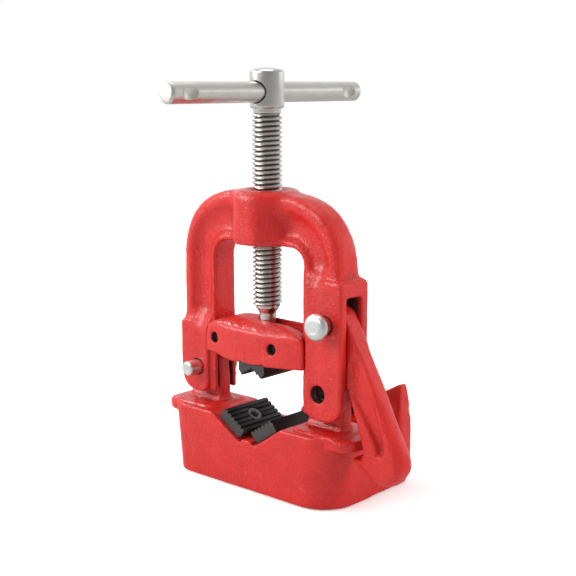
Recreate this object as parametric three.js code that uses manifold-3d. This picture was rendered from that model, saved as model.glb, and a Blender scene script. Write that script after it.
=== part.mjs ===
// Bench yoke pipe vise: a cast base with two toothed lower jaws, and a yoke that hinges on the
// left and is held down by a hook on the right. A screw with a sliding tee bar drives a jaw
// holder, which runs on rails on the yoke's two legs.
// Millimetres. Z up, X from the hinge to the hook, Y along the pipe. The origin is the centre
// of the base's underside, below the screw.
import * as THREE from 'three';
import { mergeVertices } from 'three/addons/utils/BufferGeometryUtils.js';
import Module from 'manifold-3d';

const wasm = await Module();
wasm.setup();

// Driving dimensions
const GAP = 0.35;              // clearance between pieces that touch or slide
const WINDOW = 32;             // half width of the yoke's window
const LEG_IN = 35.8;           // inner side of each leg's wide cheek
const RAIL_Y = 8.5;            // half depth of the rails and inner rim
const ARCH_Y = 9.2;            // half depth of the arch
const CLEVIS_Y = 11.2;         // half depth of the fork at the foot of each leg
const SLOT_Y = 5.9;            // half width of the slot between a leg's cheeks
const WEB_Y = 5.2;             // half depth of the web between the arch's rims
const ARCH_X = 55.5;           // outer side of the arch
const ARC_X = 17.5;            // centre of the arch's outer corners
const ARC_Z = 124;
const ARCH_R = 38;
const WINDOW_TOP = 134.5;
const WINDOW_R = 9;
const BOSS_TOP = 163.5;
const LEG_FOOT = 47;
const HINGE = [-44.4, 61];     // X and Z of the hinge pin
const HOOK_PIN = [49.3, 98];   // X and Z of the hook's pin
const PIN_R = 4.15;
const HOOK_PIN_R = 4.4;

const BASE_X = 58.5;           // half width of the base's body at its top
const BASE_FRONT = -19;
const END_DRAFT = 1.3;         // how far the body's ends lean in, down to its foot
const FRONT_DRAFT = 2.5;       // the same for its front
const BASE_BACK = 56;
const BODY_BACK = 19;
const BASE_TOP = 40;
const PAD_TOP = 41.5;
const SHELF_TOP = 20;
const LUG_X = 67.5;            // tip of the lug that the hook grips, and of its twin
const LUG_Y = 15;
const LUG_Z = 34;
const SEAT_TILT = THREE.MathUtils.degToRad(34);
const SEAT_D = 18.95;          // distance of the jaw seats from the screw axis's foot
const V_FLOOR = 26.9;
const TANG_Y = 4;
const TANG_R = 11.5;

const JAW_Y = 16.3;            // half length of the lower jaws
const JAW_IN = 20.7;           // the jaws' run along the seat, from the origin's foot on its plane
const JAW_OUT = 38.4;
const JAW_T = 7.3;
const TEETH = 6;
const TOOTH = 1.5;

const HOLDER_TOP = 95;
const HOLDER_EDGE = 88;
const HOLDER_Z = 72;
const UPPER_X = 9.3;
const UPPER_Y = 13.3;
const UPPER_TIP = 63;
const UPPER_APEX = 67;
const POCKET_TOP = 77.5;

const SCREW_R = 8;
const NECK_R = 4.55;
const BUTTON_R = 7.4;
const THREAD = [100, 202.8];   // lower and upper end of the thread
const HEAD = [205.3, 225];
const HEAD_R = 9.15;
const BAR_Z = 213.7;
const BAR_R = 5.4;
const BAR_HALF = 72;
const BAR_SHIFT = 1;
const SWAGE = 60.5;            // centre of each swaged flat, from the bar's middle

const ROUND = 28;              // sides of a round piece
const COLOURS = {
  red: { color: '#cf2f2b', roughness: 0.38, metalness: 0.05 },
  steel: { color: '#b3b1ac', roughness: 0.32, metalness: 1 },
  zinc: { color: '#c4c7c9', roughness: 0.3, metalness: 1 },
  black: { color: '#232425', roughness: 0.5, metalness: 0.6 },
};

// ---- solids -------------------------------------------------------------------------------

function toSolid(geometry) {
  let g = geometry.index ? geometry : mergeVertices(geometry);
  g.deleteAttribute('normal');
  g.deleteAttribute('uv');
  g = mergeVertices(g, 1e-4);
  const index = g.index.array;
  const kept = [];
  for (let i = 0; i < index.length; i += 3) {
    const [a, b, c] = [index[i], index[i + 1], index[i + 2]];
    if (a !== b && b !== c && c !== a) kept.push(a, b, c);
  }
  const vertProperties = new Float32Array(g.attributes.position.array);
  return new wasm.Manifold(new wasm.Mesh({ numProp: 3, vertProperties, triVerts: new Uint32Array(kept) }));
}

function join(...solids) {
  return solids.reduce((whole, s) => whole.add(s));
}

function cut(whole, ...tools) {
  return tools.reduce((left, t) => left.subtract(t), whole);
}

// A shape drawn in (X, Z), from y0 to y1.
function prismY(shape, y0, y1, curveSegments = 8) {
  const g = new THREE.ExtrudeGeometry(shape, { depth: y1 - y0, bevelEnabled: false, curveSegments });
  return toSolid(g.rotateX(Math.PI / 2).translate(0, y1, 0));
}

// A shape drawn in (Y, Z), from x0 to x1.
function prismX(shape, x0, x1, curveSegments = 8) {
  const g = new THREE.ExtrudeGeometry(shape, { depth: x1 - x0, bevelEnabled: false, curveSegments });
  const turn = new THREE.Matrix4().makeBasis(
    new THREE.Vector3(0, 1, 0), new THREE.Vector3(0, 0, 1), new THREE.Vector3(1, 0, 0));
  return toSolid(g.applyMatrix4(turn).translate(x0, 0, 0));
}

// A shape drawn in (X, Y), from z0 to z1.
function prismZ(shape, z0, z1, curveSegments = 8) {
  const g = new THREE.ExtrudeGeometry(shape, { depth: z1 - z0, bevelEnabled: false, curveSegments });
  return toSolid(g.translate(0, 0, z0));
}

// A body that changes from one outline at z0 to another with as many points at z1.
function loft(low, z0, high, z1) {
  const [a, b] = [low, high].map((s) => s.getPoints(8).slice(0, -1));
  const position = [...a.flatMap((p) => [p.x, p.y, z0]), ...b.flatMap((p) => [p.x, p.y, z1])];
  const n = a.length;
  const index = [];
  for (let i = 0; i < n; i += 1) {
    const j = (i + 1) % n;
    index.push(i, j, n + j, i, n + j, n + i);
  }
  THREE.ShapeUtils.triangulateShape(a, []).forEach(([i, j, k]) => {
    index.push(k, j, i);
  });
  THREE.ShapeUtils.triangulateShape(b, []).forEach(([i, j, k]) => {
    index.push(n + i, n + j, n + k);
  });
  const g = new THREE.BufferGeometry();
  g.setAttribute('position', new THREE.BufferAttribute(new Float32Array(position), 3));
  g.setIndex(index);
  return toSolid(g);
}

function box(x0, x1, y0, y1, z0, z1) {
  const g = new THREE.BoxGeometry(x1 - x0, y1 - y0, z1 - z0);
  return toSolid(g.translate((x0 + x1) / 2, (y0 + y1) / 2, (z0 + z1) / 2));
}

// A turned piece: profile rows are [radius, distance along the axis], from one end to the other.
function turned(profile, axis, at = [0, 0, 0], sides = ROUND) {
  const points = profile.map(([r, d]) => new THREE.Vector2(r, d));
  const g = new THREE.LatheGeometry(points, sides);
  if (axis === 'z') g.rotateX(Math.PI / 2);
  return toSolid(g.translate(...at));
}

function rod(r, from, to, axis, at, sides = ROUND) {
  return turned([[0, from], [r, from], [r, to], [0, to]], axis, at, sides);
}

function polygon(points) {
  return new THREE.Shape(points.map(([x, y]) => new THREE.Vector2(x, y)));
}

// A rectangle with a radius at each corner: radii run from the low corner anticlockwise.
function roundRect(x0, x1, y0, y1, radii) {
  const [a, b, c, d] = radii;
  const s = new THREE.Shape();
  s.moveTo(x0 + a, y0);
  s.lineTo(x1 - b, y0);
  if (b) s.absarc(x1 - b, y0 + b, b, -Math.PI / 2, 0, false);
  s.lineTo(x1, y1 - c);
  if (c) s.absarc(x1 - c, y1 - c, c, 0, Math.PI / 2, false);
  s.lineTo(x0 + d, y1);
  if (d) s.absarc(x0 + d, y1 - d, d, Math.PI / 2, Math.PI, false);
  s.lineTo(x0, y0 + a);
  if (a) s.absarc(x0 + a, y0 + a, a, Math.PI, 1.5 * Math.PI, false);
  return s;
}

const group = new THREE.Group();

function piece(name, solid, colour) {
  const { vertProperties, triVerts } = solid.getMesh();
  const g = new THREE.BufferGeometry();
  g.setAttribute('position', new THREE.BufferAttribute(new Float32Array(vertProperties), 3));
  g.setIndex(new THREE.BufferAttribute(new Uint32Array(triVerts), 1));
  const mesh = new THREE.Mesh(g, new THREE.MeshStandardMaterial(COLOURS[colour]));
  mesh.name = name;
  group.add(mesh);
}

// ---- base ---------------------------------------------------------------------------------

// Height of the jaw seat over a point x from the centre plane.
function seatHeight(x) {
  return (SEAT_D + Math.sin(SEAT_TILT) * Math.abs(x)) / Math.cos(SEAT_TILT);
}

function veeTrough() {
  const wide = 33;
  const foot = (V_FLOOR * Math.cos(SEAT_TILT) - SEAT_D) / Math.sin(SEAT_TILT);
  const right = [[3.4, V_FLOOR + 2], [4.2, V_FLOOR], [foot, V_FLOOR], [wide, seatHeight(wide)]];
  const left = right.map(([x, z]) => [-x, z]).reverse();
  return prismY(polygon([...right, ...left]), BASE_FRONT - 1, BODY_BACK + 1);
}

// Upright lug that stands in a leg's fork and carries the hinge pin; side is -1 or 1.
function tang(side) {
  const inner = WINDOW + GAP;
  const [x, z] = [Math.abs(HINGE[0]), HINGE[1]];
  const s = new THREE.Shape();
  s.moveTo(inner, BASE_TOP - 2);
  s.lineTo(x + TANG_R, BASE_TOP - 2);
  s.lineTo(x + TANG_R, z);
  s.absarc(x, z, TANG_R, 0, Math.PI, false);
  s.lineTo(inner, z - 6);
  const upright = side > 0 ? s : mirrored(s);
  const root = side > 0 ? [inner, x + TANG_R] : [-x - TANG_R, -inner];
  return join(
    prismY(upright, -TANG_Y, TANG_Y, 12),
    box(root[0], root[1], -TANG_Y - 1.2, TANG_Y + 1.2, BASE_TOP - 2, BASE_TOP + 4));
}

function mirrored(shape, divisions = 12) {
  const points = shape.getPoints(divisions).map((p) => new THREE.Vector2(-p.x, p.y));
  return new THREE.Shape(points.reverse());
}

function base() {
  const foot = BASE_X - END_DRAFT;
  const body = loft(
    roundRect(-foot, foot, BASE_FRONT + FRONT_DRAFT, BODY_BACK, [10, 20, 4, 4]), 0,
    roundRect(-BASE_X, BASE_X, BASE_FRONT, BODY_BACK, [10, 16, 4, 4]), BASE_TOP);
  const shelf = prismZ(roundRect(-foot, foot, 0, BASE_BACK, [3, 3, 7, 10]), 0, SHELF_TOP);
  const lugs = prismZ(roundRect(-LUG_X, LUG_X, -LUG_Y, LUG_Y, [9, 9, 9, 9]), LUG_Z, BASE_TOP);
  const pads = [-1, 1].map((side) => {
    const [x0, x1] = side > 0 ? [29, 60] : [-60, -29];
    return prismZ(roundRect(x0, x1, -15, 15, [6, 6, 6, 6]), BASE_TOP - 1, PAD_TOP);
  });
  // Pipe rest at the back: a vee whose right arm runs up into a bending horn
  const rest = prismY(polygon([
    [-16, 10], [foot, 10], [foot, 36], [52.5, 55.5], [49.5, 54.5], [0, 24.5], [-12, 31.8], [-16, 31.8],
  ]), BASE_BACK - 12, BASE_BACK);
  const slope = prismX(polygon([[40, 37], [BASE_BACK - 12, 37], [51.5, 59], [40, 59]]), -60, 60);
  const trough = prismY(polygon([[0, 17.5], [12, 26], [-12, 26]]), BODY_BACK - 1, BASE_BACK + 1);
  const bolts = [-40, 40].flatMap((x) => [
    rod(4.5, -1, SHELF_TOP + 1, 'z', [x, 32, 0]),
    rod(9, SHELF_TOP - 7, SHELF_TOP + 1, 'z', [x, 32, 0]),
  ]);
  const pins = [-1, 1].map((side) =>
    rod(PIN_R + GAP, -8, 8, 'y', [side * Math.abs(HINGE[0]), 0, HINGE[1]]));
  const whole = join(body, shelf, lugs, ...pads, cut(rest, slope), tang(-1), tang(1));
  return cut(whole, veeTrough(), trough, ...bolts, ...pins, jawScrewHole(-1), jawScrewHole(1));
}

// ---- lower jaws ---------------------------------------------------------------------------

// Moves a solid drawn flat (x along the seat outwards, z off the seat) onto a seat.
function ontoSeat(geometry, side) {
  const [s, c] = [Math.sin(SEAT_TILT), Math.cos(SEAT_TILT)];
  const along = new THREE.Vector3(side * c, 0, s);
  const up = new THREE.Vector3(-side * s, 0, c);
  const across = new THREE.Vector3().crossVectors(up, along);
  const foot = up.clone().multiplyScalar(SEAT_D);
  const m = new THREE.Matrix4().makeBasis(along, across, up).setPosition(foot);
  return geometry.transform(m.elements);
}

function toothedTop(x0, x1, top) {
  const step = (x1 - x0) / TEETH;
  const points = [];
  for (let i = 0; i < TEETH; i += 1) {
    points.push([x0 + step * i, top], [x0 + step * (i + 0.62), top], [x0 + step * (i + 0.8), top - TOOTH]);
  }
  points.push([x1, top - TOOTH]);
  return points;
}

function lowerJaw(side) {
  const top = toothedTop(JAW_IN, JAW_OUT, JAW_T);
  const flat = prismY(polygon([[JAW_IN + 2, GAP], [JAW_OUT, GAP], ...top.reverse(), [JAW_IN, 2.5]]), -JAW_Y, JAW_Y);
  const middle = (JAW_IN + JAW_OUT) / 2;
  const bored = cut(flat, rod(2.9, -1, 9, 'z', [middle, 0, 0]), rod(4.6, 3.4, 9, 'z', [middle, 0, 0]));
  return ontoSeat(bored, side);
}

function jawScrew(side) {
  const middle = (JAW_IN + JAW_OUT) / 2;
  const screw = turned([[0, -9], [2.5, -9], [2.5, 3.75], [4.2, 3.75], [4.2, JAW_T - 1.9], [0, JAW_T - 1.9]],
    'z', [middle, 0, 0], 20);
  const socket = turned([[0, 3.6], [1.9, 3.6], [1.9, 9], [0, 9]], 'z', [middle, 0, 0], 6);
  return ontoSeat(cut(screw, socket), side);
}

function jawScrewHole(side) {
  return ontoSeat(rod(2.9, -10, 1, 'z', [(JAW_IN + JAW_OUT) / 2, 0, 0], 20), side);
}

// ---- yoke ---------------------------------------------------------------------------------

// The arch's outline at an inset from its outer side, down to a foot.
function archShape(inset, foot) {
  const [r, x] = [ARCH_R - inset, ARCH_X - inset];
  const s = new THREE.Shape();
  s.moveTo(x, foot);
  s.lineTo(x, ARC_Z);
  s.absarc(ARC_X, ARC_Z, r, 0, Math.PI / 2, false);
  s.absarc(-ARC_X, ARC_Z, r, Math.PI / 2, Math.PI, false);
  s.lineTo(-x, foot);
  return s;
}

function windowShape(outset, foot) {
  const x = WINDOW + outset;
  const r = WINDOW_R + outset;
  return roundRect(-x, x, foot, WINDOW_TOP + outset, [0, 0, r, r]);
}

// Fork at the foot of a leg, with its outer lower corner rounded about the pin.
function fork(side, outer, top) {
  const radii = side > 0 ? [6, 11, 3, 0] : [11, 6, 0, 3];
  const [x0, x1] = side > 0 ? [LEG_IN, outer] : [-outer, -LEG_IN];
  return prismY(roundRect(x0, x1, LEG_FOOT, top, radii), -CLEVIS_Y, CLEVIS_Y);
}

function yoke() {
  const rail = RAIL_Y;
  const rims = prismY(archShape(0, 86), -ARCH_Y, ARCH_Y, 16);
  const rails = [-1, 1].map((side) => {
    const [x0, x1] = side > 0 ? [WINDOW, LEG_IN + 1] : [-LEG_IN - 1, -WINDOW];
    return box(x0, x1, -rail, rail, LEG_FOOT + 1, 130);
  });
  const slim = [-1, 1].map((side) => {
    const [y0, y1] = side > 0 ? [rail, ARCH_Y + 1] : [-ARCH_Y - 1, -rail];
    return prismY(windowShape(LEG_IN - WINDOW, 20), y0, y1, 12);
  });
  const pocket = cut(
    prismY(archShape(9, 92), WEB_Y, 12, 16),
    prismY(windowShape(5, 80), WEB_Y - 1, 13, 12),
    box(LEG_IN, 60, 0, 20, 80, 124));
  const back = pocket;
  const front = pocket.mirror([0, 1, 0]);
  const boss = prismZ(polygon([
    [7, -19], [16.5, -9.5], [16.5, 9.5], [7, 19], [-7, 19], [-16.5, 9.5], [-16.5, -9.5], [-7, -19],
  ]), WINDOW_TOP, BOSS_TOP);
  const whole = join(
    cut(rims, ...slim, back, front), ...rails, boss,
    fork(-1, 57, 88), fork(1, 60, 121));
  const hookSlot = prismY(roundRect(38, 70, 30, 112, [0, 0, 0, 3]), -SLOT_Y, SLOT_Y);
  return cut(
    whole,
    prismY(windowShape(0, 30), -25, 25, 12),
    box(-70, -LEG_IN + 10, -SLOT_Y, SLOT_Y, 30, 75),
    box(LEG_IN - 10, 70, -SLOT_Y, SLOT_Y, 30, 76),
    hookSlot,
    rod(SCREW_R + 0.45, 120, 180, 'z', [0, 0, 0], 32),
    rod(PIN_R + GAP, -20, 20, 'y', [HINGE[0], 0, HINGE[1]]),
    rod(PIN_R + GAP, -20, 20, 'y', [-HINGE[0], 0, HINGE[1]]),
    rod(HOOK_PIN_R + GAP, -20, 20, 'y', [HOOK_PIN[0], 0, HOOK_PIN[1]]));
}

// ---- hook ---------------------------------------------------------------------------------

const BULB = [81, 31.6];     // centre of the round at the hook's foot
const BULB_R = 13.6;
const HOOK_Y = 6.8;            // half thickness of the hook below the slot

function hookShape(inset) {
  const s = new THREE.Shape();
  const [ex, ez] = HOOK_PIN;
  const eye = 9.3 - inset;
  const bulb = BULB_R - inset;
  s.absarc(ex, ez, eye, THREE.MathUtils.degToRad(31), THREE.MathUtils.degToRad(204), false);
  s.lineTo(60.4 + inset, 64);
  s.lineTo(66.3 + inset, 49.5);
  s.lineTo(70.6 + inset, 34.5);
  s.lineTo(69.2 + inset, 31.2 - inset);
  s.lineTo(62.4 + inset, 30 - inset);
  s.lineTo(61.3 + inset, 28.8);
  s.absarc(...BULB, bulb, THREE.MathUtils.degToRad(222), THREE.MathUtils.degToRad(382), false);
  s.closePath();
  return s;
}

function hook() {
  const plate = prismY(hookShape(0), -SLOT_Y + 0.5, SLOT_Y - 0.5, 14);
  const thick = prismY(hookShape(0), -HOOK_Y, HOOK_Y, 14).intersect(prismY(polygon([
    [63, 66], [60, 56], [60, 10], [100, 10], [100, 70], [80, 70],
  ]), -9, 9));
  const pocket = polygon([[68, 74], [72.5, 72], [84, 50], [86, 42], [81, 38], [76.5, 40], [72, 52]]);
  return cut(
    join(plate, thick),
    prismY(pocket, -9, -4.5),
    prismY(pocket, 4.5, 9),
    rod(HOOK_PIN_R + GAP, -12, 12, 'y', [HOOK_PIN[0], 0, HOOK_PIN[1]]));
}

// ---- pins ---------------------------------------------------------------------------------

const COTTER_Y = 16.2;
const COTTER_R = 1.1;

// Headless at the front, with a cross hole for its cotter behind the washer.
function hingePin() {
  const pin = turned([
    [0, -19.2], [PIN_R - 0.5, -19.2], [PIN_R, -18.7], [PIN_R, 18.2], [PIN_R - 0.5, 18.7], [0, 18.7],
  ], 'y', [HINGE[0], 0, HINGE[1]], 24);
  return cut(pin, rod(COTTER_R + 0.3, -9, 9, 'z', [HINGE[0], COTTER_Y, HINGE[1]], 12));
}

function hookPin() {
  const r = HOOK_PIN_R;
  const pin = turned([
    [0, -20.6], [5, -20.4], [6.6, -19.4], [7.1, -18], [7.1, -16.2], [6.4, -15.5], [r, -15.5],
    [r, 18.2], [r - 0.5, 18.7], [0, 18.7],
  ], 'y', [HOOK_PIN[0], 0, HOOK_PIN[1]], 24);
  return cut(pin, rod(COTTER_R + 0.3, -9, 9, 'z', [HOOK_PIN[0], COTTER_Y, HOOK_PIN[1]], 12));
}

function washer(pinR, [x, z]) {
  const [y0, y1] = [CLEVIS_Y + GAP, CLEVIS_Y + GAP + 1.6];
  return turned([
    [pinR + GAP, y0], [pinR + 4.3, y0], [pinR + 4.3, y1], [pinR + GAP, y1], [pinR + GAP, y0],
  ], 'y', [x, 0, z], 24);
}

// A split pin through the end of a pin, its two legs bent apart below.
function cotter(pinR, [x, z]) {
  const eye = turned([
    [1.3, -0.8], [2.6, -0.8], [2.6, 0.8], [1.3, 0.8], [1.3, -0.8],
  ], 'y', [x, COTTER_Y, z + pinR + 3.2], 14);
  const stem = rod(COTTER_R, -pinR - 2.5, pinR + 1.4, 'z', [x, COTTER_Y, z], 10);
  const foot = prismY(polygon([
    [-0.9, -pinR - 1.6], [0.9, -pinR - 1.6], [4.2, -pinR - 3.9], [3.3, -pinR - 5], [0, -pinR - 3],
    [-3.3, -pinR - 5], [-4.2, -pinR - 3.9],
  ].map(([u, w]) => [x + u, z + w])), COTTER_Y - 0.8, COTTER_Y + 0.8);
  return join(eye, stem, foot);
}

// ---- jaw holder ---------------------------------------------------------------------------

const KEEPER = [15, 80.5];     // X and Z of the pin that keeps the screw's button in its slot
const SPARE = [-28.3, 80.5];
const KEEPER_R = 2.4;

function holder() {
  const front = new THREE.Shape();
  const end = LEG_IN - GAP;
  front.moveTo(-end, HOLDER_Z);
  front.lineTo(-28, HOLDER_Z);
  front.quadraticCurveTo(-22, 70, -14, 69.6);
  front.quadraticCurveTo(0, 69, 14, 70.4);
  front.quadraticCurveTo(24, 71.2, end, HOLDER_Z);
  front.lineTo(end, HOLDER_EDGE);
  front.quadraticCurveTo(20, 94, 10, HOLDER_TOP);
  front.lineTo(-10, HOLDER_TOP);
  front.quadraticCurveTo(-20, 94, -end, HOLDER_EDGE);
  const plan = new THREE.Shape();
  plan.moveTo(-end, -12.3);
  plan.quadraticCurveTo(0, -17.5, end, -12.3);
  plan.lineTo(end, 12.3);
  plan.quadraticCurveTo(0, 17.5, -end, 12.3);
  const side = polygon([
    [-16, 60], [16, 60], [16, 87], [14.6, HOLDER_EDGE], [6, HOLDER_TOP], [-6, HOLDER_TOP],
    [-14.6, HOLDER_EDGE], [-16, 87],
  ]);
  const whole = prismY(front, -20, 20, 6).intersect(prismZ(plan, 50, 110, 10)).intersect(prismX(side, -50, 50));
  const railSlots = [-1, 1].map((s) => {
    const [x0, x1] = s > 0 ? [WINDOW - GAP - 0.2, 40] : [-40, -WINDOW + GAP + 0.2];
    return box(x0, x1, -RAIL_Y - GAP, RAIL_Y + GAP, 50, 110);
  });
  return cut(
    whole,
    ...railSlots,
    // Slot in which the screw's neck and button slide in from the hook side
    prismZ(roundRect(-NECK_R - 0.5, 40, -NECK_R - 0.5, NECK_R + 0.5, [5, 0, 0, 5]), 80, 110),
    prismZ(roundRect(-BUTTON_R - 0.5, 40, -BUTTON_R - 0.5, BUTTON_R + 0.5, [7.8, 0, 0, 7.8]), 79.5, 86.9),
    // Pocket for the upper jaw, and its screw
    box(-UPPER_X - GAP, UPPER_X + GAP, -UPPER_Y - GAP, UPPER_Y + GAP, 50, POCKET_TOP),
    rod(2.9, 60, 79.7, 'z', [0, 0, 0], 20),
    rod(KEEPER_R + GAP, -20, 20, 'y', [KEEPER[0], 0, KEEPER[1]], 20),
    rod(KEEPER_R + GAP, -20, 20, 'y', [SPARE[0], 0, SPARE[1]], 20));
}

function upperJaw() {
  const run = UPPER_X - 2.3;
  const right = [];
  const teeth = 3;
  for (let i = 0; i < teeth; i += 1) {
    const [u, v] = [i / teeth, (i + 0.62) / teeth];
    const drop = (t) => UPPER_APEX + (UPPER_TIP - UPPER_APEX) * t;
    right.push([run * u, drop(u) + 1.3], [run * v, drop(v)], [run * (v + 0.05), drop(v + 0.05) + 1.1]);
  }
  right.push([run, UPPER_TIP], [UPPER_X, UPPER_TIP + 3], [UPPER_X, POCKET_TOP - GAP]);
  const left = right.slice(1).map(([x, z]) => [-x, z]).reverse();
  const block = prismY(polygon([...right, ...left]), -UPPER_Y, UPPER_Y);
  return cut(block, rod(2.9, 50, 90, 'z', [0, 0, 0], 20), rod(4.6, 50, 72, 'z', [0, 0, 0], 20));
}

function upperJawScrew() {
  const screw = turned([[0, 68.6], [4.2, 68.6], [4.2, 71.7], [2.5, 71.7], [2.5, 79.2], [0, 79.2]],
    'z', [0, 0, 0], 20);
  return cut(screw, turned([[0, 68], [1.9, 68], [1.9, 70.6], [0, 70.6]], 'z', [0, 0, 0], 6));
}

// ---- screw and bar ------------------------------------------------------------------------

function spindle() {
  const [low, high] = THREAD;
  const [head, top] = HEAD;
  const shaft = turned([
    [0, 80], [BUTTON_R - 1, 80], [BUTTON_R, 81], [BUTTON_R, 85.4], [BUTTON_R - 1, 86.4], [NECK_R, 86.4],
    [NECK_R, low - 3.3], [SCREW_R - 0.6, low], [SCREW_R, low + 1], [SCREW_R, high], [7.6, high + 0.6],
    [7.6, head], [HEAD_R - 1, head], [HEAD_R, head + 1], [HEAD_R, top - 0.8], [HEAD_R - 0.9, top],
    [4, top + 1.1], [0, top + 1.3],
  ], 'z', [0, 0, 0], 32);
  return cut(shaft, rod(BAR_R + GAP, -12, 12, 'y', [0, 0, BAR_Z], 24));
}

function handleBar() {
  const r = BAR_R;
  const bar = turned([
    [0, -BAR_HALF], [r - 1.1, -BAR_HALF], [r, -BAR_HALF + 1.1],
    [r, BAR_HALF - 1.1], [r - 1.1, BAR_HALF], [0, BAR_HALF],
  ], 'y', [0, BAR_SHIFT, BAR_Z], 24);
  // Each swage is a flat pressed in from two sides, which pushes the metal out above and below
  const swages = [-SWAGE, SWAGE].flatMap((d) => [-1, 1].map((side) =>
    rod(6, -10, 10, 'z', [side * (r + 4.6), d + BAR_SHIFT, BAR_Z], 20)));
  const ears = [-SWAGE, SWAGE].map((d) =>
    turned([[0, -5], [r, -5], [r + 0.5, 0], [r, 5], [0, 5]], 'y', [0, d + BAR_SHIFT, BAR_Z], 24)
      .intersect(box(-3, 3, -90, 90, BAR_Z - 9, BAR_Z + 9)));
  return cut(join(bar, ...ears), ...swages);
}

// ---- assembly -----------------------------------------------------------------------------

piece('base', base(), 'red');
piece('lower_jaw_left', lowerJaw(-1), 'black');
piece('lower_jaw_right', lowerJaw(1), 'black');
piece('lower_jaw_screw_left', jawScrew(-1), 'black');
piece('lower_jaw_screw_right', jawScrew(1), 'black');
piece('yoke', yoke(), 'red');
piece('hinge_pin', hingePin(), 'zinc');
piece('hinge_pin_washer', washer(PIN_R, HINGE), 'zinc');
piece('hinge_pin_cotter', cotter(PIN_R, HINGE), 'zinc');
piece('hook', hook(), 'red');
piece('hook_pin', hookPin(), 'zinc');
piece('hook_pin_washer', washer(HOOK_PIN_R, HOOK_PIN), 'zinc');
piece('hook_pin_cotter', cotter(HOOK_PIN_R, HOOK_PIN), 'zinc');
piece('jaw_holder', holder(), 'red');
piece('upper_jaw', upperJaw(), 'black');
piece('upper_jaw_screw', upperJawScrew(), 'black');
piece('screw_keeper_pin', rod(KEEPER_R, -12.2, 12.2, 'y', [KEEPER[0], 0, KEEPER[1]], 16), 'steel');
piece('holder_spare_pin', rod(KEEPER_R, -11, 11, 'y', [SPARE[0], 0, SPARE[1]], 16), 'steel');
piece('spindle', spindle(), 'steel');
piece('handle_bar', handleBar(), 'steel');

export default group;
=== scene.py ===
"""The looks of a bench yoke pipe vise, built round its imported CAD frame.

The four castings (base, yoke, hook and jaw holder) are remade as distance fields: each CAD solid
is sampled on a grid, its edges are softened as a sand casting's are, the machined bores and slots
are cut again, and the field is meshed. The steel pieces are turned, wound or bevelled meshes.

Lengths are in millimetres, in the CAD frame, until a mesh is made; Blender's own are in metres.
"""

import itertools
import math

import bmesh
import bpy
import numpy as np
import openvdb
from mathutils import Matrix, Vector


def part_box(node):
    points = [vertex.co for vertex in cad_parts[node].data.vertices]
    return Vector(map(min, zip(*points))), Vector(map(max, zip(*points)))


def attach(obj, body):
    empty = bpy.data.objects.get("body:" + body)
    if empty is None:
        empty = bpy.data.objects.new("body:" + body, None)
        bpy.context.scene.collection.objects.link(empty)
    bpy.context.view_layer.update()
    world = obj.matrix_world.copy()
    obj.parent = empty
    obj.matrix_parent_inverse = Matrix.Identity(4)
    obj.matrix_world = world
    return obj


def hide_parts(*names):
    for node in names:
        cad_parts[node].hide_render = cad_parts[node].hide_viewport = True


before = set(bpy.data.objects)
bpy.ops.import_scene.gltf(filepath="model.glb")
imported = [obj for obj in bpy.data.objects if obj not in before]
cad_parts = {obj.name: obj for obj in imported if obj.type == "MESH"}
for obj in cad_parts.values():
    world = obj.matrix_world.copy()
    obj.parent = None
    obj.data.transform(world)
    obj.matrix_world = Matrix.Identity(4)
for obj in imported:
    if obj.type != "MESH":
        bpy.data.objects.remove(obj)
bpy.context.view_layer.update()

MM = 0.001

# ---- sizes --------------------------------------------------------------------------------------


def node_box(node):
    """A CAD node's lowest and highest corner in millimetres."""
    low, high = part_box(node)
    return np.array(low) / MM, np.array(high) / MM


def node_middle(node):
    low, high = node_box(node)
    return (low + high) / 2


CLEARANCE = 0.35        # room round a loose pin, and round the upper jaw in its pocket
SCREW_ROOM = 0.45       # room round the screw in the yoke's boss
PAINTED_FIT = 0.08      # what shows round a pin that was driven in before the paint
COARSE = 0.66           # voxels of the large castings, and of the small ones
FINE = 0.5
INSET = 0.02            # how far inside its CAD node's box a casting stays
GRAIN = 0.028           # height and size of the castings' sand grain
GRAIN_SIZE = 0.75
SWELL = 0.04            # height and size of the slow swell of their faces
SWELL_SIZE = 3.2
HOLLOW_SIZE = 3.2       # how wide a neighbourhood tells a hollow from an edge
BARE_EDGE = 0.15        # paint starts this far from a drilled wall, and is full at twice as far

HINGE_X, _, HINGE_Z = node_middle("hinge_pin")
HINGE_PIN_R = (node_box("hinge_pin")[1][0] - node_box("hinge_pin")[0][0]) / 2
HOOK_PIN_X, _, HOOK_PIN_Z = node_middle("hook_pin")
HOOK_PIN_R = 4.4        # its shank's, where the node's box is its head's
DOWEL_HOLE_R = 2.75

BOLT_X = 40             # the base's two bolt holes, and their counterbores
BOLT_Y = 32
BOLT_R = 4.5
BOLT_HEAD_R = 9
BOLT_HEAD_Z = 13
SEAT_TILT = math.radians(34)
SEAT_D = 18.95          # distance of the jaw seats from the foot of the screw's axis
VEE_X = 33              # half width, half depth and floor of the vee that the seats make
VEE_Y = 21
VEE_Z = 26.9
JAW_MIDDLE = 29.55      # the jaw screws' place along their seats

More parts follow.
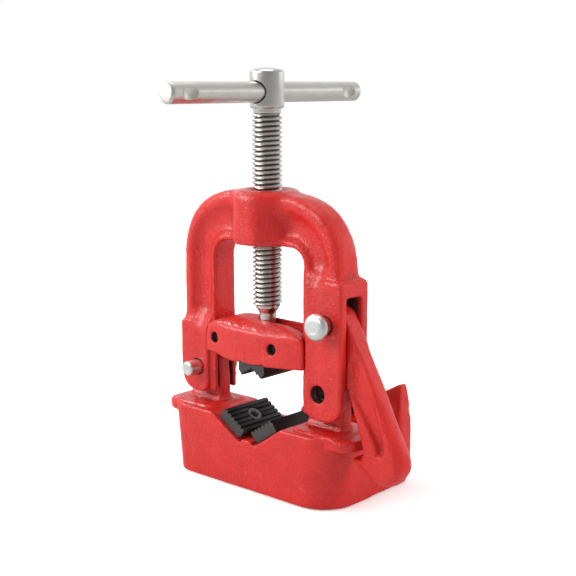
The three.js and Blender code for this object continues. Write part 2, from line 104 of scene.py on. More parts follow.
WINDOW = 32             # half width of the yoke's window
WINDOW_TOP = 134.5
WINDOW_R = 9
GUIDE_TOP = 122         # the window's sides are machined up to here
BOSS_X = 20             # half width of the boss
BOSS_FOOT = 132         # from where its softer edges come in, up to where they are softest
BOSS_SOFT = 142
LEFT_FORK_TOP = 88      # where each leg's fork ends and the softer arch begins
RIGHT_FORK_TOP = 121
ARCH_Y = 9.2            # half depth of the arch
ARCH_RIM = 1.4          # how far the cast outer rim stands proud of the CAD arch's
SLOT_Y = 6.0            # half width of the slots between a leg's cheeks, with the skin of their walls
SLOT_FOOT = 30
LEFT_SLOT = ((-54, -26), 75)        # X range and top
RIGHT_SLOT = ((37.5, 57), 112)
HOOK_ARM_Y = 5.3        # half thickness of the hook's arm
ROOF_Z = 90.4           # height of the front and back edges of the jaw holder's top, and its slope
ROOF_SLOPE = 0.3
POCKET_Z = 71           # a little above the mouth of the holder's pocket

SCREW_R = 8
NECK_R = 4.55
NECK_SLOT_R = 4.8
BUTTON_R = 7.4
BUTTON_TOP = 86.4
BUTTON_SLOT_R = 7.9
BUTTON_SLOT_Z = 83.2    # middle height of the slot, and half its height
BUTTON_SLOT_HALF = 3.7
THREAD_PITCH = 2.5
THREAD_DEPTH = 1.5
THREAD_LOW = 100.0
THREAD_HIGH = 203.4
HEAD_FOOT = 205.3
BAR_BORE_R = 6.0
BAR_Z = node_middle("handle_bar")[2]
DIMPLE_Y = 60.5         # from the bar's middle
DIMPLE_R = 8.2          # radius of the ball that pressed it
DIMPLE_DEPTH = 2.1

AMBIENT = 0.42          # brightness of the white tent where it lights matt surfaces
TENT_BACK = (-0.60, 0.67, -0.43)    # direction in which polished faces mirror it at its whitest
CAMERA_AT = (408.09, -439.09, 218.82)
CAMERA_TO = (8.14, 7.29, 109.83)
CAMERA_LENS = 70.8

# ---- distance fields ----------------------------------------------------------------------------


class Field:
    """A signed distance on a regular grid: values below zero are inside."""

    MARGIN = 6          # empty voxels round the solid
    FAR = 9             # distance from raw metal and painted shade while there is neither

    def __init__(self, node, voxel, reach=6):
        """Samples a CAD node; the values are true up to reach voxels from its skin."""
        points, triangles = node_triangles(node)
        self.voxel = voxel
        self.low = np.floor(points.min(0) / voxel).astype(int) - self.MARGIN
        self.first = tuple(int(i) for i in self.low)
        high = np.ceil(points.max(0) / voxel).astype(int) + self.MARGIN
        grid = openvdb.FloatGrid.createLevelSetFromPolygons(
            (points / voxel).astype(np.float32), triangles=triangles, halfWidth=reach
        )
        self.values = np.zeros(tuple(high - self.low), np.float32)
        grid.copyToArray(self.values, ijk=self.first)
        self.values *= voxel
        steps = [(np.arange(n) + start) * voxel for n, start in zip(self.values.shape, self.low)]
        axes = [step.astype(np.float32) for step in steps]
        self.x, self.y, self.z = np.meshgrid(*axes, indexing="ij", sparse=True)
        self.bare_and_shade_distance = np.full_like(self.values, self.FAR)
        self.limits = [(low + INSET, high - INSET) for low, high in zip(*node_box(node))]

    def blurred(self, sigma):
        return blur(self.values, sigma / self.voxel)

    def soften(self, light, heavy, weight):
        """Rounds every edge: lightly where weight is 0 and heavily where it is 1."""
        gentle = self.blurred(light)
        self.values = gentle + (self.blurred(heavy) - gentle) * weight

    def add(self, extra, blend=0.0):
        """Joins another field on, with the corner between the two filled by blend."""
        self.values = -smooth_max(-self.values, -extra, blend)

    def carve(self, tool, blend=0.0):
        """Cuts a tool's field away, leaving the rim rounded by blend."""
        self.values = smooth_max(self.values, -tool, blend)

    def drill(self, tool, blend=0.0):
        """Cuts a tool's field away and keeps paint off its wall."""
        self.carve(tool, blend)
        self.mark_bare_and_shade(tool)

    def mark_bare_and_shade(self, tool):
        """Gives the skin inside a tool's field the dark colour of raw metal: real on a drilled wall, painted
        shade where nothing is drilled.
        """
        self.bare_and_shade_distance = np.minimum(self.bare_and_shade_distance, tool)

    def roughen(self, seed):
        """Gives the skin of a sand casting: fine grain and a slow swell."""
        noise = np.random.default_rng(seed).standard_normal(self.values.shape).astype(np.float32)
        for height, size in ((GRAIN, GRAIN_SIZE), (SWELL, SWELL_SIZE)):
            waves = blur(noise, size / self.voxel)
            self.values += waves * (height / waves.std())

    def sampled(self, values, points):
        """The values at points given in voxels, read between the grid's own points."""
        place = points - self.low
        start = np.floor(place).astype(int)
        part = place - start
        total = np.zeros(len(points))
        for corner in itertools.product((0, 1), repeat=3):
            share = np.prod(np.where(corner, part, 1 - part), axis=1)
            total += share * values[tuple((start + corner).T)]
        return total

    def mesh(self, name):
        """The field's skin, marked for the material: its raw metal and its painted-shade places, and its
        hollows, which get painted shade too.
        """
        self.values = np.maximum(self.values, block(self, *self.limits))
        grid = openvdb.FloatGrid(float(self.values.max()))
        grid.copyFromArray(self.values, ijk=self.first)
        points, triangles, quads = grid.convertToPolygons(isovalue=0.0, adaptivity=0.0)
        made = skin(name, points * self.voxel, triangles, quads)
        wall = self.sampled(self.bare_and_shade_distance, points)
        mark(made, "bare_and_shade", np.clip(2 - wall / BARE_EDGE, 0, 1))
        mark(made, "hollow", self.sampled(-self.blurred(HOLLOW_SIZE), points))
        return made


def node_triangles(node):
    """A CAD node's points in millimetres, and its triangles."""
    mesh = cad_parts[node].data
    mesh.calc_loop_triangles()
    points = np.zeros(len(mesh.vertices) * 3, np.float32)
    mesh.vertices.foreach_get("co", points)
    triangles = np.zeros(len(mesh.loop_triangles) * 3, np.int32)
    mesh.loop_triangles.foreach_get("vertices", triangles)
    return points.reshape(-1, 3) / MM, triangles.reshape(-1, 3).astype(np.uint32)


def skin(name, points, triangles, quads):
    """A smooth mesh. The faces' corners are read from last to first, so that they face outwards."""
    corners = np.concatenate([quads.reshape(-1), triangles.reshape(-1)])[::-1]
    sizes = np.concatenate([np.full(len(quads), 4), np.full(len(triangles), 3)])[::-1]
    starts = np.concatenate([[0], np.cumsum(sizes)[:-1]])
    mesh = bpy.data.meshes.new(name)
    mesh.vertices.add(len(points))
    mesh.vertices.foreach_set("co", (points * MM).astype(np.float32).reshape(-1))
    mesh.loops.add(len(corners))
    mesh.loops.foreach_set("vertex_index", corners.astype(np.int32))
    mesh.polygons.add(len(sizes))
    mesh.polygons.foreach_set("loop_start", starts.astype(np.int32))
    mesh.update(calc_edges=True)
    mesh.validate()
    mesh.shade_smooth()
    return mesh


def mark(mesh, name, values):
    """Stores a number at each of a mesh's points, for its material to read."""
    attribute = mesh.attributes.new(name, "FLOAT", "POINT")
    attribute.data.foreach_set("value", values.astype(np.float32))


def blur(values, sigma):
    """A Gaussian blur along each axis in turn, cut off at 2.6 sigma; sigma is in voxels."""
    reach = math.ceil(2.6 * sigma)
    kernel = np.exp(-0.5 * (np.arange(-reach, reach + 1) / sigma) ** 2)
    kernel = (kernel / kernel.sum()).astype(np.float32)
    for axis in range(3):
        n = values.shape[axis]
        width = [(reach, reach) if a == axis else (0, 0) for a in range(3)]
        padded = np.moveaxis(np.pad(values, width, mode="edge"), axis, 0)
        total = np.zeros((n, *padded.shape[1:]), np.float32)
        for i, w in enumerate(kernel):
            total += w * padded[i:i + n]
        values = np.moveaxis(total, 0, axis)
    return np.ascontiguousarray(values)


def smooth_max(a, b, blend):
    """The greater of two fields, with the corner where they meet rounded by about blend."""
    if np.isscalar(blend) and blend <= 0:
        return np.maximum(a, b)
    h = np.clip(0.5 + 0.5 * (a - b) / blend, 0, 1)
    return b + (a - b) * h + blend * h * (1 - h)


def ramp(values, start, end):
    """0 before start and 1 after end, with a smooth step between."""
    t = np.clip((values - start) / (end - start), 0, 1)
    return t * t * (3 - 2 * t)


def cylinder_y(field, x, z, r):
    return np.sqrt((field.x - x) ** 2 + (field.z - z) ** 2) - r


def cylinder_z(field, x, y, r):
    return np.sqrt((field.x - x) ** 2 + (field.y - y) ** 2) - r


def block(field, x, y, z):
    """A box's field, from its (low, high) on each axis."""
    ranges = zip((field.x, field.y, field.z), (x, y, z))
    sides = [np.abs(c - (low + high) / 2) - (high - low) / 2 for c, (low, high) in ranges]
    return np.maximum(np.maximum(sides[0], sides[1]), sides[2])


def outline(field, points):
    """Distance to a closed outline in (X, Z), below zero inside it."""
    nearest = np.full((field.x.shape[0], 1, field.z.shape[2]), 1e9, np.float32)
    inside = np.zeros(nearest.shape, bool)
    for (x0, z0), (x1, z1) in zip(points, points[1:] + points[:1]):
        dx, dz = x1 - x0, z1 - z0
        t = np.clip(((field.x - x0) * dx + (field.z - z0) * dz) / (dx * dx + dz * dz), 0, 1)
        nearest = np.minimum(nearest, (field.x - x0 - t * dx) ** 2 + (field.z - z0 - t * dz) ** 2)
        if z0 != z1:
            across = x0 + (field.z - z0) / dz * dx
            inside ^= ((field.z > min(z0, z1)) & (field.z <= max(z0, z1))) & (field.x < across)
    return np.where(inside, -1, 1) * np.sqrt(nearest)


def outline_y(field, points, half):
    """The field of an outline in (X, Z), within half either side of Y = 0."""
    return np.maximum(outline(field, points), np.abs(field.y) - half)


# ---- meshes -------------------------------------------------------------------------------------


def piece(name, mesh, body, material, slot, *nodes):
    """Puts a finished mesh in the scene in place of its CAD nodes."""
    obj = bpy.data.objects.new(name, mesh)
    bpy.context.scene.collection.objects.link(obj)
    mesh.materials.clear()
    mesh.materials.append(material)
    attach(obj, body)
    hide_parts(*nodes)


def applied(mesh, *modifiers):
    """The mesh after a list of (type, settings), with nothing left to apply."""
    obj = bpy.data.objects.new("work", mesh)
    bpy.context.scene.collection.objects.link(obj)
    for kind, settings in modifiers:
        modifier = obj.modifiers.new(kind, kind)
        for key, value in settings.items():
            setattr(modifier, key, value)
    bpy.context.view_layer.update()
    graph = bpy.context.evaluated_depsgraph_get()
    made = bpy.data.meshes.new_from_object(obj.evaluated_get(graph))
    bpy.data.objects.remove(obj)
    return made


def bevelled(mesh, width, segments=2, angle=28):
    """The mesh with its edges rounded off, and its faces shaded true up to the rounding."""
    mesh.shade_smooth()
    return applied(mesh, ("BEVEL", {
        "width": width * MM, "segments": segments, "limit_method": "ANGLE", "harden_normals": True,
        "angle_limit": math.radians(angle), "miter_outer": "MITER_ARC", "use_clamp_overlap": True,
    }))


def subtracted(mesh, *tools):
    """The mesh with other meshes cut out of it."""
    cutters = []
    for tool in tools:
        cutter = bpy.data.objects.new("cutter", tool)
        bpy.context.scene.collection.objects.link(cutter)
        cutters.append(cutter)
    made = applied(mesh, *[
        ("BOOLEAN", {"operation": "DIFFERENCE", "solver": "EXACT", "object": c}) for c in cutters
    ])
    for cutter in cutters:
        bpy.data.objects.remove(cutter)
    return made


def from_cad(node, flat=2.0):
    """A CAD node's mesh, with triangles that lie within flat degrees joined into faces again."""
    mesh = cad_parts[node].data.copy()
    bm = bmesh.new()
    bm.from_mesh(mesh)
    bmesh.ops.remove_doubles(bm, verts=bm.verts, dist=0.002 * MM)
    bmesh.ops.dissolve_limit(bm, angle_limit=math.radians(flat), verts=bm.verts, edges=bm.edges)
    bm.to_mesh(mesh)
    bm.free()
    return mesh


# Turns the Z axis onto another
AXES = {"y": Matrix.Rotation(-math.pi / 2, 4, "X"), "z": Matrix()}


def around(r, angle, along):
    """A point about the Z axis, in metres."""
    return r * MM * math.cos(angle), r * MM * math.sin(angle), along * MM


def turned(name, profile, axis, at=(0, 0, 0), sides=96):
    """A turned solid. Profile rows are (radius, distance along the axis) from one end to the other."""
    bm = bmesh.new()
    rings = []
    for r, along in profile:
        if r < 1e-6:
            rings.append([bm.verts.new((0, 0, along * MM))])
        else:
            turns = [2 * math.pi * i / sides for i in range(sides)]
            rings.append([bm.verts.new(around(r, a, along)) for a in turns])
    for low, high in zip(rings, rings[1:]):
        for i in range(sides):
            j = (i + 1) % sides
            corners = [low[i % len(low)], low[j % len(low)], high[j % len(high)], high[i % len(high)]]
            bm.faces.new(list(dict.fromkeys(corners)))
    bmesh.ops.recalc_face_normals(bm, faces=bm.faces)
    bm.transform(Matrix.Translation(Vector(at) * MM) @ AXES[axis])
    return finished(bm, name, 32)


def finished(bm, name, sharp):
    """A mesh from what was drawn, smooth but for edges of more than sharp degrees."""
    mesh = bpy.data.meshes.new(name)
    bm.to_mesh(mesh)
    bm.free()
    mesh.shade_smooth()
    mesh.set_sharp_from_angle(angle=math.radians(sharp))
    return mesh


def softened(profile, radius, steps=4):
    """A turning profile with each corner between two straight runs rounded off."""
    rows = [profile[0]]
    for before, corner, after in zip(profile, profile[1:], profile[2:]):
        a, c, b = (Vector(p) for p in (before, corner, after))
        reach = min(radius, (a - c).length * 0.45, (b - c).length * 0.45)
        start = c + (a - c).normalized() * reach
        end = c + (b - c).normalized() * reach
        for i in range(steps + 1):
            t = i / steps
            rows.append(tuple(start * (1 - t) ** 2 + c * 2 * t * (1 - t) + end * t * t))
    rows.append(profile[-1])
    return rows


# ---- materials ----------------------------------------------------------------------------------


class Nodes:
    """Adds nodes to a node tree and joins them up."""

    def __init__(self, tree):
        self.tree = tree

    def new(self, kind, inputs=None, **settings):
        node = self.tree.nodes.new(kind)
        for key, value in settings.items():
            setattr(node, key, value)
        for key, value in (inputs or {}).items():
            self.put(node.inputs[key], value)
        return node

    def put(self, socket, value):
        """Links a socket to another, or sets it to a value."""
        if isinstance(value, bpy.types.NodeSocket):
            self.tree.links.new(value, socket)
        else:
            socket.default_value = value

    def spread(self, value, low, high, to_low=0.0, to_high=1.0):
        """Stretches one range of values onto another, and holds them to it."""
        return self.new("ShaderNodeMapRange", {
            "Value": value, "From Min": low, "From Max": high, "To Min": to_low, "To Max": to_high,
        }).outputs[0]

    def mix(self, fac, a, b):
        return self.new("ShaderNodeMix", {0: fac, 6: a, 7: b}, data_type="RGBA").outputs[2]

    def length(self, vector):
        return self.new("ShaderNodeVectorMath", {0: vector}, operation="LENGTH").outputs["Value"]

    def calculate(self, operation, a, b=0.0):
        return self.new("ShaderNodeMath", {0: a, 1: b}, operation=operation).outputs[0]


class Finish(Nodes):
    """The nodes of a new material, with patterns that stay in place on the object."""

    def __init__(self, name):
        self.material = bpy.data.materials.new(name)
        self.material.use_nodes = True
        super().__init__(self.material.node_tree)
        self.shader = self.tree.nodes["Principled BSDF"]
        self.place = self.new("ShaderNodeTexCoord").outputs["Object"]

    def set(self, **values):
        """Sets the shader's sockets, or links them."""
        for key, value in values.items():
            self.put(self.shader.inputs[key.replace("_", " ")], value)

    def noise(self, size, detail=3, roughness=0.5, stretch=(1, 1, 1)):
        """Noise whose cells are about size millimetres across, longer along a stretched axis."""
        scale = [1 / s for s in stretch]
        place = self.new("ShaderNodeMapping", {"Vector": self.place, "Scale": scale})
        return self.new("ShaderNodeTexNoise", {
            "Vector": place.outputs[0], "Scale": 1 / (size * MM), "Detail": detail, "Roughness": roughness,
        }).outputs["Fac"]

    def marked(self, name):
        """What mark() stored at the mesh's points."""
        return self.new("ShaderNodeAttribute", attribute_name=name).outputs["Fac"]

    def pointiness(self):
        return self.new("ShaderNodeNewGeometry").outputs["Pointiness"]

    def bump(self, height, depth, under=None):
        """A bump whose full height is depth millimetres."""
        inputs = {"Height": height, "Distance": depth * MM, "Strength": 1.0}
        if under is not None:
            inputs["Normal"] = under
        return self.new("ShaderNodeBump", inputs).outputs[0]


def colour(r, g, b):
    return r, g, b, 1.0


def grey(level):
    return colour(level, level, level)


def shaded(tint, by):
    return colour(*(c * by for c in tint[:3]))


def enamel():
    """Glossy red enamel over a sand-cast skin: orange peel, paler on the edges from thin paint and a painted
    highlight, with painted glints, and painted shade in the hollows.
    """
    nodes = Finish("red_enamel")
    # Paler on the edges: thinner paint there, and a painted highlight
    thin_paint_and_highlight = nodes.spread(nodes.pointiness(), 0.52, 0.60)
    # Painted shade: darker the deeper the hollow
    sunk = nodes.spread(nodes.marked("hollow"), 0.15, 1.1)
    cloud = nodes.spread(nodes.noise(14, 2), 0.35, 0.65)
    # Pale specks in the orange peel: painted glints
    painted_glints = nodes.spread(nodes.noise(0.9, 2), 0.74, 0.80)
    paint = nodes.mix(cloud, colour(0.58, 0.014, 0.011), colour(0.64, 0.018, 0.014))
    paint = nodes.mix(nodes.spread(thin_paint_and_highlight, 0, 1, 0, 0.5), paint, colour(0.80, 0.13, 0.115))
    paint = nodes.mix(nodes.spread(sunk, 0, 1, 0, 0.75), paint, colour(0.26, 0.005, 0.004))
    paint = nodes.mix(nodes.spread(painted_glints, 0, 1, 0, 0.25), paint, colour(0.85, 0.20, 0.18))
    # Dark oiled iron where marked: raw metal on drilled walls, painted shade in the slots and round the
    # tang's hole
    stain = nodes.spread(nodes.noise(1.5, 3), 0.3, 0.7)
    oiled_and_shade = nodes.mix(stain, colour(0.030, 0.018, 0.014), colour(0.075, 0.050, 0.040))
    grit = nodes.bump(nodes.noise(0.85, 2, 0.5), 0.3)
    peel = nodes.bump(nodes.noise(1.7, 2, 0.45), 0.34, grit)
    nodes.set(
        Base_Color=nodes.mix(nodes.marked("bare_and_shade"), paint, oiled_and_shade),
        Roughness=nodes.spread(nodes.noise(6, 3), 0.3, 0.7, 0.30, 0.42),
        Normal=nodes.bump(nodes.noise(5.5, 2), 0.25, peel),
        Coat_Weight=0.25, Coat_Roughness=0.12, Specular_IOR_Level=0.36,
    )
    return nodes.material


def steel(name, tint, rough, across, depth=0.003, grain=0.5, root=None):
    """Bare steel with fine tool marks, which run square to the axis called across.

    root is the radius (from, to) about the Z axis over which the metal goes from darker to its own tint.
    """
    nodes = Finish(name)
    stretch = {"x": (0.14, 8, 8), "y": (8, 0.14, 8), "z": (8, 8, 0.14)}[across]
    marks = nodes.noise(grain, 4, 0.6, stretch)
    blotch = nodes.spread(nodes.noise(7, 4), 0.35, 0.7)
    base = nodes.mix(nodes.spread(marks, 0.3, 0.7, 0, 0.6), tint, shaded(tint, 0.8))
    base = nodes.mix(nodes.spread(blotch, 0, 1, 0, 0.35), base, shaded(tint, 0.72))
    if root is not None:
        plan = nodes.new("ShaderNodeVectorMath", {0: nodes.place, 1: (1, 1, 0)}, operation="MULTIPLY")
        # Darker towards the thread's root
        oil = nodes.spread(nodes.length(plan.outputs[0]), root[0] * MM, root[1] * MM, 1, 0)
        base = nodes.mix(oil, base, colour(0.13, 0.115, 0.10))
    roughness = nodes.spread(marks, 0.3, 0.7, rough - 0.06, rough + 0.08)
    nodes.set(Base_Color=base, Roughness=roughness, Normal=nodes.bump(marks, depth), Metallic=1.0)
    return nodes.material


def zinc(name, x, z):
    """Bright zinc plate, with the rings that facing a pin's end leaves round its own axis."""
    nodes = Finish(name)
    split = nodes.new("ShaderNodeSeparateXYZ", {"Vector": nodes.place})
    dx = nodes.calculate("SUBTRACT", split.outputs["X"], x * MM)
    dz = nodes.calculate("SUBTRACT", split.outputs["Z"], z * MM)
    radius = nodes.length(nodes.new("ShaderNodeCombineXYZ", {"X": dx, "Y": dz}).outputs[0])
    turns = nodes.calculate("MULTIPLY", radius, 2 * math.pi / (0.55 * MM))
    rings = nodes.calculate("SINE", turns)
    mottle = nodes.noise(1.6, 3)
    plate = nodes.mix(nodes.spread(mottle, 0.3, 0.7), colour(0.88, 0.90, 0.89), colour(0.72, 0.74, 0.72))
    nodes.set(
        Base_Color=plate,
        Roughness=nodes.spread(mottle, 0.3, 0.7, 0.3, 0.42),
        Normal=nodes.bump(rings, 0.004),
        Metallic=1.0,
    )
    return nodes.material


def black_oxide(name, dark, worn, ends=0.0):
    """Hardened steel blackened in oil: satin, mottled and rubbed paler along its edges.

    ends is how much paler its faces square to Y are, as painted light.
    """
    nodes = Finish(name)
    edge = nodes.spread(nodes.pointiness(), 0.52, 0.62)
    mottle = nodes.spread(nodes.noise(2.2, 4, 0.6), 0.35, 0.7)
    base = nodes.mix(mottle, grey(dark), colour(dark * 2.2, dark * 2.1, dark * 2.1))
    normal = nodes.new("ShaderNodeTexCoord").outputs["Normal"]
    sideways = nodes.new("ShaderNodeSeparateXYZ", {"Vector": normal}).outputs["Y"]
    # Faces square to Y made paler: painted light
    lit_side = nodes.spread(nodes.calculate("POWER", sideways, 2), 0.6, 0.9)
    base = nodes.mix(lit_side, base, colour(dark + ends, dark + ends * 0.93, dark + ends * 0.9))
    nodes.set(
        Base_Color=nodes.mix(nodes.spread(edge, 0, 1, 0, 0.5), base, grey(worn)),
        Roughness=nodes.spread(nodes.noise(1.4, 3), 0.3, 0.7, 0.34, 0.5),
        Normal=nodes.bump(nodes.noise(0.35, 3), 0.02),
        Specular_IOR_Level=0.15,
    )
    return nodes.material


SCREW_TINT = colour(0.74, 0.72, 0.69)
RED = enamel()
BLACK = black_oxide("black_oxide", 0.004, 0.06, 0.06)
WORN_BLACK = black_oxide("worn_black_oxide", 0.08, 0.3)
SHAFT_STEEL = steel("shaft_steel", SCREW_TINT, 0.27, "z")
THREAD_STEEL = steel("thread_steel", SCREW_TINT, 0.27, "z", root=(SCREW_R - 1.45, SCREW_R - 0.7))
BAR_STEEL = steel("bar_steel", colour(0.80, 0.775, 0.73), 0.36, "x", 0.012, 0.8)
# Near-black dowels: painted shade for the dark holes they sit in
SHADED_DOWEL_STEEL = steel("dowel_steel_painted_shade", colour(0.03, 0.027, 0.025), 0.5, "y")
HINGE_ZINC = zinc("hinge_zinc", HINGE_X, HINGE_Z)
HOOK_ZINC = zinc("hook_zinc", HOOK_PIN_X, HOOK_PIN_Z)

# ---- castings -----------------------------------------------------------------------------------


def base():
    """The base: its tangs and lugs are crisp, and its body and its back are softer."""
    field = Field("base", COARSE)
    low = 1 - ramp(field.z, 40.5, 44)
    behind = ramp(field.y, 18, 22)
    field.soften(0.6, 1.5, low * (0.25 + 0.6 * behind))
    field.roughen(3)
    for side in (-1, 1):
        field.drill(cylinder_y(field, side * abs(HINGE_X), HINGE_Z, HINGE_PIN_R + CLEARANCE), 0.3)
        field.drill(cylinder_z(field, side * BOLT_X, BOLT_Y, BOLT_R), 0.5)
        head = cylinder_z(field, side * BOLT_X, BOLT_Y, BOLT_HEAD_R)
        field.carve(np.maximum(head, BOLT_HEAD_Z - field.z), 0.5)
    field.carve(vee(field), 0.5)
    # The right tang gets the dark raw-metal colour round its hole: painted shade where the yoke's empty hole
    # shows it
    field.mark_bare_and_shade(cylinder_y(field, -HINGE_X, HINGE_Z, HINGE_PIN_R + 2))
    return field.mesh("base_casting")


def vee(field):
    """The machined vee under the lower jaws: two seats, and a low rib along the flat between them."""

    def seat_z(x):
        return (SEAT_D + math.sin(SEAT_TILT) * x) / math.cos(SEAT_TILT)

    foot = (VEE_Z * math.cos(SEAT_TILT) - SEAT_D) / math.sin(SEAT_TILT)
    right = [(3.4, VEE_Z + 2), (4.2, VEE_Z), (foot, VEE_Z), (VEE_X, seat_z(VEE_X))]
    left = [(-x, z) for x, z in reversed(right)]
    return outline_y(field, right + left, VEE_Y)


def yoke():
    """The yoke: crisp forks at its feet, and a rounded arch with a boss over them."""
    field = Field("yoke", COARSE)
    outward = from_window(field)
    above_fork = field.z - np.where(field.x < 0, LEFT_FORK_TOP, RIGHT_FORK_TOP)
    arch = ramp(above_fork, -3, 8)
    rim = ramp(outward, 5, 10)
    # The cast rim stands a little proud of the CAD arch's, but is no deeper
    fuller = np.maximum(field.values - ARCH_RIM, np.abs(field.y) - ARCH_Y)
    field.values += (fuller - field.values) * arch * rim * ramp(np.abs(field.x), 20, 48)
    boss = ramp(BOSS_X - np.abs(field.x), -4, 4) * ramp(field.z, BOSS_FOOT, BOSS_SOFT)
    field.soften(0.6, 1.2, arch)
    field.soften(0.3, 2.3, arch * rim)
    field.soften(0.3, 1.5, boss)
    field.carve(channel(field, outward, above_fork), 1.6)
    field.roughen(5)
    field.carve(np.maximum(np.abs(field.x) - WINDOW, field.z - GUIDE_TOP), 0.6)
    field.drill(cylinder_y(field, HINGE_X, HINGE_Z, HINGE_PIN_R + PAINTED_FIT), 0.3)
    field.drill(cylinder_y(field, -HINGE_X, HINGE_Z, HINGE_PIN_R + CLEARANCE), 0.4)
    field.drill(cylinder_y(field, HOOK_PIN_X, HOOK_PIN_Z, HOOK_PIN_R + PAINTED_FIT), 0.3)
    field.drill(cylinder_z(field, 0, 0, SCREW_R + SCREW_ROOM), 0.5)
    # The slots between the cheeks get the dark raw-metal colour: painted shade
    for x, top in (LEFT_SLOT, RIGHT_SLOT):
        field.mark_bare_and_shade(block(field, x, (-SLOT_Y, SLOT_Y), (SLOT_FOOT, top)))
    return field.mesh("yoke_casting")


def from_window(field):
    """Distance outwards from the edge of the yoke's window, in (X, Z)."""
    across = np.abs(field.x) - (WINDOW - WINDOW_R)
    up = field.z - (WINDOW_TOP - WINDOW_R)
    beyond = np.sqrt(np.maximum(across, 0) ** 2 + np.maximum(up, 0) ** 2)
    return beyond + np.minimum(np.maximum(across, up), 0) - WINDOW_R


def channel(field, outward, above_fork):
    """The channel round the arch's two faces, between a thin inner rim and a round outer one.

    It ends beside the boss, and runs out over the forks as the tool that cuts it rises.
    """
    middle, flatter, tool_y, tool_r = 10.2, 1.15, 12.4, 7.6
    rise = 6.5 * ramp(-above_fork, -9, 8)
    from_middle = (outward - middle) / flatter
    groove = np.sqrt(from_middle ** 2 + (np.abs(field.y) - tool_y - rise) ** 2) - tool_r
    return smooth_max(groove, BOSS_X - 2 - np.abs(field.x), 5)


def hook():
    """The hook: a flat arm, thicker and rounder towards the foot, with a web between its edges."""
    field = Field("hook", FINE, reach=16)
    bore = cylinder_y(field, HOOK_PIN_X, HOOK_PIN_Z, HOOK_PIN_R + CLEARANCE)
    # Halfway through the CAD hook lies its whole outline, and its bore, which is filled here
    middle = field.values.shape[1] // 2
    flat = np.minimum(field.values[:, middle:middle + 1], bore - 0.6)
    down = ramp(-field.z, -88, -46)
    foot_y = node_box("hook")[1][1]
    half = HOOK_ARM_Y + (foot_y - HOOK_ARM_Y) * ramp(-field.z, -84, -58)
    # The foot is rounder at its outer side and along its bottom
    outer = np.maximum(ramp(field.x * 0.88 + field.z * 0.48, 89, 99), ramp(-field.z, -33, -25))
    field.values = smooth_max(flat, np.abs(field.y) - half, 1.3 + 6.2 * down * outer)
    web = outline(field, [
        (61.8, 80), (65.5, 86), (75.2, 64), (82.8, 43), (83.2, 36.5),
        (80, 34), (78.6, 40), (71.6, 52), (66.2, 60.4), (61.6, 67),
    ])
    web_y = 4.9 - 1.6 * ramp(-field.z, -70, -40)
    field.carve(np.maximum(web, web_y - np.abs(field.y)), 1.8)
    field.soften(0.5, 1.0, down)
    field.roughen(7)
    field.drill(bore, 0.3)
    return field.mesh("hook_casting")


def holder():
    """The jaw holder: a bar with a crowned top, a pocket for the jaw and a slot for the screw."""
    field = Field("jaw_holder", FINE)
    low, high = node_box("upper_jaw")
    jaw_pocket = block(field, *[(a - CLEARANCE, b + CLEARANCE) for a, b in zip(low, high)])
    # The CAD part's pocket and slots are filled before the skin is cast, and cut again after it
    field.add(np.maximum(jaw_pocket, POCKET_Z - field.z))
    crown = [(-6, 80), (35.4, 80), (35.4, 88), (27, 91.2), (20, 93), (14, 94.4), (10, 95), (-6, 95)]
    field.add(outline_y(field, crown, 5.6))
    roof = ROOF_Z + ROOF_SLOPE * (node_box("jaw_holder")[1][1] - np.abs(field.y))
    field.carve(roof - field.z, 1.5)
    field.soften(0.7, 1.4, ramp(field.z, 78, 88))
    field.roughen(9)
    field.carve(jaw_pocket)
    field.carve(np.maximum(keyhole(field, NECK_SLOT_R), BUTTON_SLOT_Z - BUTTON_SLOT_HALF - field.z), 0.4)
    field.drill(np.maximum(keyhole(field, BUTTON_SLOT_R), np.abs(field.z - BUTTON_SLOT_Z) - BUTTON_SLOT_HALF))
    for pin in ("screw_keeper_pin", "holder_spare_pin"):
        x, _, z = node_middle(pin)
        field.drill(cylinder_y(field, x, z, DOWEL_HOLE_R), 0.35)
    return field.mesh("holder_casting")


def keyhole(field, r):
    """A slot of half width r that ends round the screw's axis and is open on the hook's side."""
    return np.where(field.x < 0, cylinder_z(field, 0, 0, r), np.abs(field.y) - r)


piece("base_casting", base(), "base", RED, "cast_red", "base")
piece("yoke_casting", yoke(), "yoke", RED, "cast_red", "yoke")
piece("hook_casting", hook(), "hook", RED, "cast_red", "hook")
piece("holder_casting", holder(), "jaw_holder", RED, "cast_red", "jaw_holder")

# ---- jaws and their screws ----------------------------------------------------------------------


def onto_seat(side):
    """Takes a piece drawn flat (x outwards along the seat, z off it) onto a jaw's seat in the base."""
    s, c = math.sin(SEAT_TILT), math.cos(SEAT_TILT)
    along, up = Vector((side * c, 0, s)), Vector((-side * s, 0, c))
    across = up.cross(along)
    turn = Matrix((along, across, up)).transposed().to_4x4()
    return Matrix.Translation(up * SEAT_D * MM) @ turn


def cap_screw(side):
    """A cap screw with a hexagon socket, whose worn rim is just below the tips of the jaw's teeth."""
    top, floor_z, shank, socket_r = 6.95, 3.8, 2.5, 2.5
    profile = [
        (0, -8), (shank, -8), (shank, 3.5), (4.3, 3.6), (4.3, top - 0.35), (4.05, top), (3.1, top),
        (2.75, top - 0.6), (0, top - 0.6),
    ]
    place = (JAW_MIDDLE, 0, 0)
    body = turned("cap", softened(profile, 0.15, 2), "z", place, 64)
    hexagon = [(0, floor_z), (socket_r, floor_z), (socket_r, 9), (0, 9)]
    made = subtracted(body, turned("socket", hexagon, "z", place, 6))
    made.transform(onto_seat(side))
    made.shade_smooth()
    made.set_sharp_from_angle(angle=math.radians(32))
    return made


